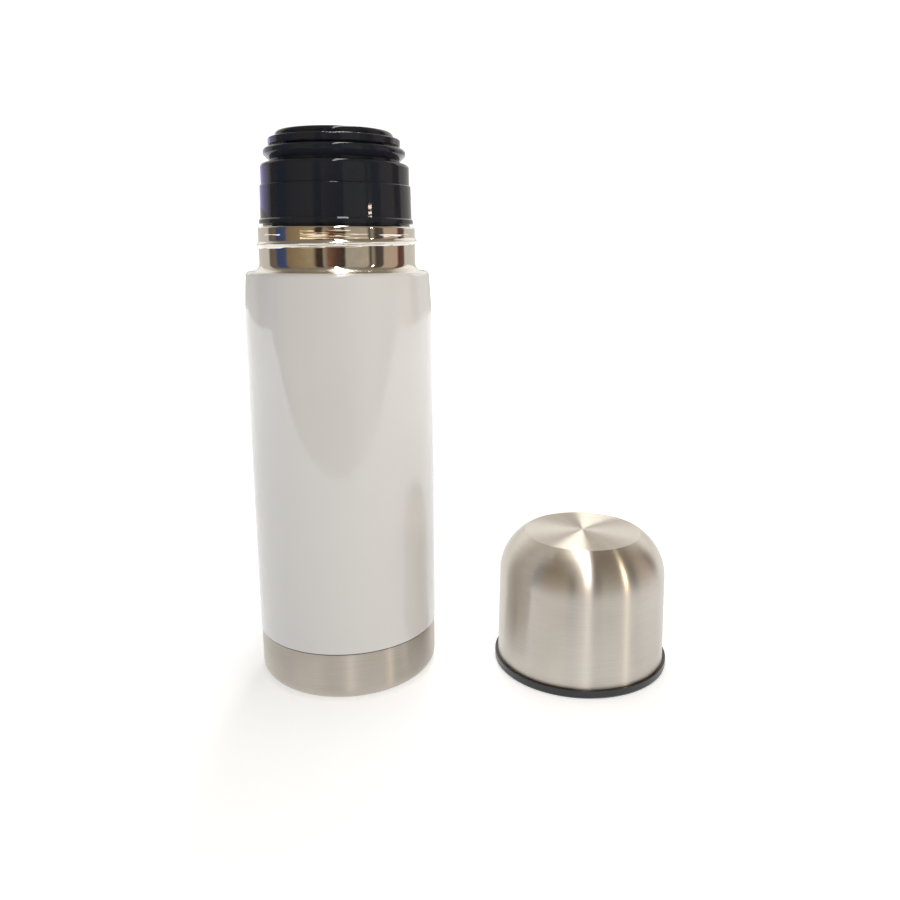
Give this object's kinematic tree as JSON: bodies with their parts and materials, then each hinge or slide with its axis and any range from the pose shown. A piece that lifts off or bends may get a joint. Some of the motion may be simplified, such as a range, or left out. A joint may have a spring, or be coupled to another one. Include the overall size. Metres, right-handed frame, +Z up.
{
  "type": "vacuum flask",
  "caption": "Double-walled steel vacuum flask with a white body, polished collar, black screw-in push-button stopper and a domed brushed-steel cup standing beside it.",
  "frame": {"origin": "centre of the flask's underside, on the surface that it stands on", "axes": "+Z up the flask's axis through the neck and stopper; +X towards the cup standing beside the flask; +Y away from the front"},
  "size_m": [0.1529, 0.0669, 0.1925],
  "materials": {
    "polished_and_brushed_steel": "polished collar, brushed base band",
    "white_lacquer": "glossy white lacquer",
    "brushed_steel": "brushed",
    "seal_solder": "matt",
    "dark_plastic": "matt moulded",
    "inner_steel": "satin",
    "copper_foil": "bright foil",
    "getter_metal": "sintered",
    "black_gloss_plastic": "glossy moulded",
    "foam": "foamed",
    "silicone": "soft silicone",
    "spring_steel": "drawn wire",
    "cup_brushed_steel": "brushed round the axis",
    "black_matte_plastic": "moulded, satin"
  },
  "bodies": {
    "flask": {"outer_shell": "polished_and_brushed_steel", "body_coating": "white_lacquer", "base_plate": "brushed_steel", "vacuum_seal": "seal_solder", "base_cover": "dark_plastic", "inner_vessel": "inner_steel", "inner_floor": "inner_steel", "radiation_foil": "copper_foil", "getter_pill": "getter_metal", "getter_clip": "inner_steel"},
    "stopper_seal": {"plug_seal": "silicone"},
    "stopper": {"stopper_plug": "black_gloss_plastic", "valve_tube": "dark_plastic", "plug_insulation": "foam", "plug_lid": "dark_plastic", "stem_seal": "silicone", "stopper_skirt": "black_gloss_plastic", "stopper_head": "black_gloss_plastic", "button_spring": "spring_steel"},
    "button": {"push_button": "black_gloss_plastic", "valve_stem": "dark_plastic", "valve_disc": "dark_plastic", "valve_seal": "silicone", "stem_clip": "spring_steel"},
    "cup": {"cup_shell": "cup_brushed_steel", "cup_liner": "black_matte_plastic"}
  },
  "joints": [
    {"name": "stopper_rise", "type": "slide", "parent": "flask", "child": "stopper_seal", "axis": [0, 0, 1], "range_m": [0, 0.03]},
    {"name": "stopper_turn", "type": "hinge", "parent": "stopper_seal", "child": "stopper", "pos_m": [0, 0, 0.15], "axis": [0, 0, 1], "range_deg": [0, 1080]},
    {"name": "button_press", "type": "slide", "parent": "stopper", "child": "button", "axis": [0, 0, -1], "range_m": [0, 0.0025], "stiffness_N_per_m": 2500, "springref_m": -0.002, "deforming": ["button_spring"]},
    {"name": "cup_lift", "type": "slide", "parent": "flask", "child": "cup", "axis": [0, 0, 1], "range_m": [0, 0.21]}
  ],
  "couplings": [
    {"joint": "stopper_rise", "follows": "stopper_turn", "m_per_rad": 0.0015915}
  ]
}
